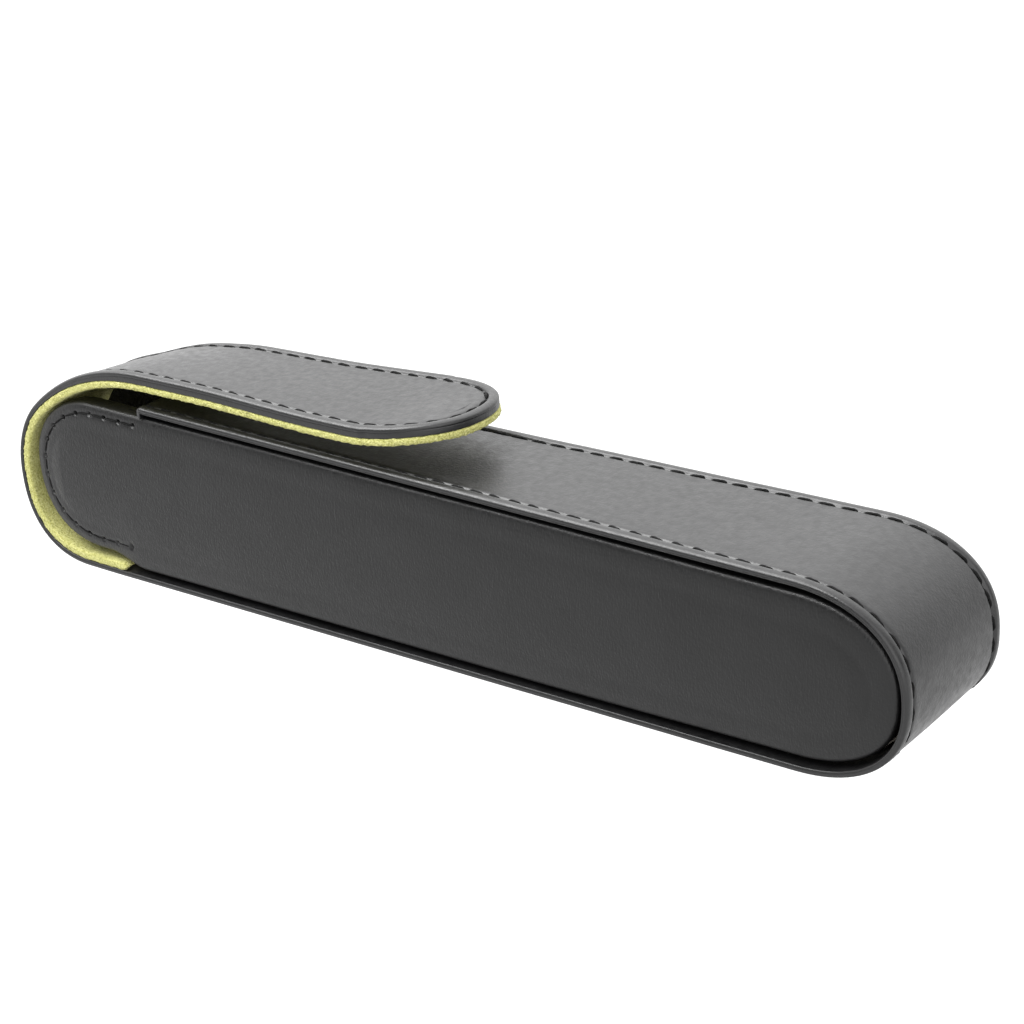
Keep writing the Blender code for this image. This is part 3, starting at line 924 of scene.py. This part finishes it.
# Near-black suede for the panel linings: painted shade, standing in for the deep shade inside the case's
# mouth
def painted_shade_suede():
    finish = Finish("painted_shade_suede", (0.02, 0.02, 0.02), 0.95, Sheen_Weight=0.1, Sheen_Roughness=0.5)
    nap = finish.noise(0.3, 4, distortion=0.8)
    finish.paint(nap, [(0.32, (0.008, 0.008, 0.008)), (0.68, (0.03, 0.03, 0.03))])
    finish.bump(nap, 0.2)
    return finish.material


def black_thread():
    finish = Finish("black_thread", (0.004, 0.004, 0.004), 0.8, Specular_IOR_Level=0.14)
    finish.roughen(finish.noise(0.5, 3), 0.75, 0.95)
    finish.bump(finish.noise(0.07, 2), 0.02)
    return finish.material


def grey_board():
    finish = Finish("grey_board", (0.23, 0.21, 0.18), 0.9)
    finish.paint(finish.noise(0.6, 4), [(0.3, (0.17, 0.155, 0.13)), (0.7, (0.29, 0.265, 0.23))])
    finish.bump(finish.noise(0.25, 3), 0.03)
    return finish.material


def white_foam():
    finish = Finish("white_foam", (0.6, 0.6, 0.58), 0.95)
    finish.paint(finish.cells(0.5), [(0.2, (0.5, 0.5, 0.48)), (0.7, (0.68, 0.68, 0.66))])
    finish.bump(finish.cells(0.5), 0.06)
    return finish.material


def plated_steel():
    finish = Finish("plated_steel", (0.5, 0.5, 0.52), 0.35, Metallic=1.0)
    finish.roughen(finish.noise(0.4, 3), 0.28, 0.45)
    finish.bump(finish.noise(0.2, 2), 0.006)
    return finish.material


FINISHES = {
    "leather": band_leather(),
    "panel": panel_leather(),
    "suede": lime_suede(),
    # the panel linings' suede is near-black as painted shade
    "shade_dark_suede": painted_shade_suede(),
    "thread": black_thread(),
    "board": grey_board(),
    "foam": white_foam(),
    "steel": plated_steel(),
}


# ---------------------------------------------------------------- making the pieces


def settle(piece, body, slot, *nodes):
    """A rigid piece: it rides on a body and stands for CAD nodes."""
    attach(piece, body)
    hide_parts(*nodes)


def settle_bent(piece, stretch, slot, *nodes):
    """A piece of the flap: its transform is baked into its mesh and the CAD nodes it stands for are
    hidden.
    """
    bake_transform(piece)
    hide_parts(*nodes)


def make_stretches(rings, spans, ending, slot, node_ending):
    """Cuts a layer of the strip at the hinges. spans holds each piece's first and last loop."""
    normals = rings.normals()
    for stretch, (first, last) in spans.items():
        points, faces = rings.mesh(first, last, zip_last=stretch == "tongue")
        own_normals = normals[first : last + 1].reshape(-1, 3)
        piece = make_piece(stretch + ending, points, faces, FINISHES[slot], own_normals)
        if stretch == "band":
            settle(piece, "case", slot, "outer_band")
        else:
            settle_bent(piece, stretch, slot, stretch + node_ending)


def make_strip(stations, starts):
    rings, cuts = leather_rings(stations, starts)
    spans = {
        "band": (0, cuts[1]),
        "heel": (cuts[1], cuts[2]),
        "crown": (cuts[2], cuts[3]),
        "tongue": (cuts[3], len(rings.rings) - 1),
    }
    make_stretches(rings, spans, "_leather_strip", "leather", "_leather")


def make_strip_stitches(stations, starts):
    """Both seams of the band, heel and crown, and the one seam that goes round the tongue's end."""
    spans = {
        "": (starts[0], starts[1]),
        "heel_": (starts[1], starts[2]),
        "crown_": (starts[2], starts[3]),
    }
    size = (STITCH_PITCH, STITCH_LENGTH, THREAD_RADIUS)
    for prefix, (first, last) in spans.items():
        line, outs = seam_on(stations[first : last + 1])
        for side, sign in (("front", 1), ("back", -1)):
            sided = [(x, y * sign, z) for x, y, z in line]
            if prefix == "crown_":
                sided = [drooped(point) for point in sided]
            points, faces = stitches(sided, outs, *size, STITCH_SLANT * sign, STITCH_SINK)
            node = prefix + side + "_thread" if prefix else side + "_seam_thread"
            name = node.replace("thread", "stitches")
            piece = make_piece(name, points, faces, FINISHES["thread"])
            if prefix:
                settle_bent(piece, prefix[:-1], "thread", node)
            else:
                settle(piece, "case", "thread", node)
    line, outs = seam_on(stations[starts[3] :])
    loop = [drooped(point) for point in line + mirrored(line)[::-1]]
    points, faces = stitches(loop, outs + outs[::-1], *size, STITCH_SLANT, STITCH_SINK)
    piece = make_piece("tongue_stitches", points, faces, FINISHES["thread"])
    settle_bent(piece, "tongue", "thread", "tongue_thread")


def make_flap_lining():
    stations, starts = strip_stations(FLAP_LINING_SPACINGS)
    rings = suede_rings(stations, starts, starts[1])
    crown_start, tongue_start = starts[2] - starts[1], starts[3] - starts[1]
    spans = {
        "heel": (0, crown_start),
        "crown": (crown_start, tongue_start),
        "tongue": (tongue_start, len(rings.rings) - 1),
    }
    make_stretches(rings, spans, "_suede", "suede", "_lining")


def make_band_lining():
    stations, starts = strip_stations(BAND_LINING_SPACINGS)
    points, faces = band_lining_rings(stations[: starts[1] + 1]).whole(zipped=False)
    settle(make_piece("band_suede", points, faces, FINISHES["suede"]), "case", "suede", "band_lining")


def make_tongue_plates():
    """The stiffener and the magnet, laid in the tongue as it really lies."""
    for node, finish in (("tongue_stiffener", "board"), ("magnet", "steel")):
        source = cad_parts[node]
        points = [drooped((source.matrix_world @ vertex.co) / MM) for vertex in source.data.vertices]
        faces = [list(face.vertices) for face in source.data.polygons]
        piece = make_piece(node + "_plate", points, faces, FINISHES[finish])
        piece.data.shade_flat()
        settle(piece, "flap_tongue", finish, node)


def make_cover(side, sign):
    cover = panel_rings(COVER_PROFILE, PANEL_CROWN, -COVER_PROUD, sign, 0.0, COVER_SPACINGS)
    sewn(cover.rings, sign)
    points, faces = cover.whole(zipped=True)
    piece = make_piece(side + "_cover_leather", points, faces, FINISHES["panel"])
    settle(piece, "case", "leather", side + "_cover")


def make_pad(side, sign):
    pad = panel_rings(PAD_PROFILE, PANEL_CROWN, PAD_IN, sign, PAD_INSET, PANEL_LAYER_SPACINGS)
    points, faces = pad.whole(zipped=True)
    piece = make_piece(side + "_pad_foam", points, faces, FINISHES["foam"])
    settle(piece, "case", "foam", side + "_pad")


def make_panel_lining(side, sign):
    """Flat suede behind the panel's board, made near-black as painted shade so that the inside of the
    mouth reads dark.
    """
    place = (PANEL_LINING_IN, sign, PANEL_LINING_INSET)
    lining = panel_rings(PANEL_LINING_PROFILE, 0.0, *place, PANEL_LAYER_SPACINGS)
    points, faces = lining.whole(zipped=True)
    piece = make_piece(side + "_suede", points, faces, FINISHES["shade_dark_suede"])
    settle(piece, "case", "suede", side + "_lining")


def make_mouth_stitches(side, sign):
    line = []
    for x, z in mouth_seam():
        line.append((x, sign * (PANEL_FACE * width_scale(x) + COVER_PROUD - SEAM_DEPTH), z))
    outs = [(0, sign, 0)] * len(line)
    size = (MOUTH_PITCH, MOUTH_STITCH_LENGTH, MOUTH_THREAD_RADIUS)
    points, faces = stitches(line, outs, *size, MOUTH_STITCH_SLANT, MOUTH_STITCH_SINK)
    piece = make_piece(side + "_mouth_stitches", points, faces, FINISHES["thread"])
    settle(piece, "case", "thread", side + "_mouth_thread")


def make_panels():
    for side, sign in (("front", -1), ("back", 1)):
        make_cover(side, sign)
        make_pad(side, sign)
        make_panel_lining(side, sign)
        make_mouth_stitches(side, sign)


def finish_cad_nodes():
    """The kept CAD nodes get finishes with the same detail as the new pieces."""
    kept = {
        "board": ["band_core", "front_board", "back_board"],
        "steel": ["keeper_plate"],
    }
    for finish, names in kept.items():
        for name in names:
            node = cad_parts[name]
            node.data.materials.clear()
            node.data.materials.append(FINISHES[finish])


# ---------------------------------------------------------------- floor, light, camera


def make_floor():
    """The floor is below the case's underside, because the open flap hangs lower than that."""
    mesh = bpy.data.meshes.new("floor")
    reach = FLOOR_REACH * MM
    corners = [(-reach, -reach, 0), (reach, -reach, 0), (reach, reach, 0), (-reach, reach, 0)]
    mesh.from_pydata(corners, [], [[0, 1, 2, 3]])
    floor = bpy.data.objects.new("floor", mesh)
    bpy.context.scene.collection.objects.link(floor)
    floor.location.z = -FLOOR_DROP * MM
    material = bpy.data.materials.new("white_floor")
    material.use_nodes = True
    shader = material.node_tree.nodes["Principled BSDF"]
    shader.inputs["Base Color"].default_value = (0.1, 0.1, 0.1, 1)
    shader.inputs["Roughness"].default_value = 1.0
    shader.inputs["Emission Color"].default_value = (1, 1, 1, 1)
    shader.inputs["Emission Strength"].default_value = 1.0
    mesh.materials.append(material)


def area_light(name, place, aim, size, watts):
    light = bpy.data.lights.new(name, "AREA")
    light.shape = "RECTANGLE"
    light.size, light.size_y = size
    light.energy = watts
    lamp = bpy.data.objects.new(name, light)
    bpy.context.scene.collection.objects.link(lamp)
    lamp.location = place
    lamp.rotation_euler = (Vector(place) - Vector(aim)).to_track_quat("Z", "Y").to_euler()


def make_light():
    """A white room whose walls are brightest behind the mouth and to the right of the camera.

    It also has a bright ceiling and one large soft lamp above, at the front left.
    """
    world = bpy.data.worlds.new("studio")
    bpy.context.scene.world = world
    world.use_nodes = True
    tree = world.node_tree
    background = tree.nodes["Background"]
    background.inputs["Color"].default_value = (1, 1, 1, 1)
    place = tree.nodes.new("ShaderNodeTexCoord").outputs["Generated"]

    def glow(direction, nearness, strength):
        """Light that grows from strength[0] to strength[1] as a direction is faced more nearly."""
        made = tree.nodes.new("ShaderNodeVectorMath")
        made.operation = "DOT_PRODUCT"
        made.inputs[1].default_value = direction
        tree.links.new(place, made.inputs[0])
        return map_range(tree, made.outputs["Value"], nearness, strength, "SMOOTHSTEP")

    total = glow((-0.6, 0.8, 0.0), (-0.3, 0.6), (0.12, 2.05))
    ceiling = glow((0.0, 0.0, 1.0), (0.35, 0.85), (0.0, 1.4))
    fill = glow((0.8, -0.6, 0.0), (0.4, 1.0), (0.0, 3.0))
    for part in (ceiling, fill):
        added = tree.nodes.new("ShaderNodeMath")
        added.operation = "ADD"
        tree.links.new(total, added.inputs[0])
        tree.links.new(part, added.inputs[1])
        total = added.outputs[0]
    tree.links.new(total, background.inputs["Strength"])
    area_light("overhead", place=(-0.22, -0.16, 0.5), aim=(0, 0, 0), size=(0.6, 0.35), watts=7.0)


def make_camera():
    """At the photograph's viewing angle."""
    back = Vector((
        math.sin(CAMERA_AZIMUTH) * math.cos(CAMERA_ELEVATION),
        -math.cos(CAMERA_AZIMUTH) * math.cos(CAMERA_ELEVATION),
        math.sin(CAMERA_ELEVATION),
    ))
    right = Vector((math.cos(CAMERA_AZIMUTH), math.sin(CAMERA_AZIMUTH), 0))
    up = back.cross(right)
    rolled_right = math.cos(CAMERA_ROLL) * right + math.sin(CAMERA_ROLL) * up
    rolled_up = -math.sin(CAMERA_ROLL) * right + math.cos(CAMERA_ROLL) * up
    data = bpy.data.cameras.new("camera")
    data.lens = CAMERA_LENS
    data.sensor_width = SENSOR_WIDTH
    data.clip_start = 0.01
    camera = bpy.data.objects.new("camera", data)
    bpy.context.scene.collection.objects.link(camera)
    turn = Matrix((rolled_right, rolled_up, back)).transposed().to_4x4()
    camera.matrix_world = Matrix.Translation(CAMERA_TARGET + back * CAMERA_DISTANCE) @ turn
    bpy.context.scene.camera = camera
    bpy.context.scene.view_settings.view_transform = "Standard"


make_camera()
make_floor()
make_light()
strip, strip_starts = strip_stations(LEATHER_SPACINGS)
make_strip(strip, strip_starts)
make_strip_stitches(strip, strip_starts)
make_flap_lining()
make_band_lining()
make_tongue_plates()
make_panels()
finish_cad_nodes()
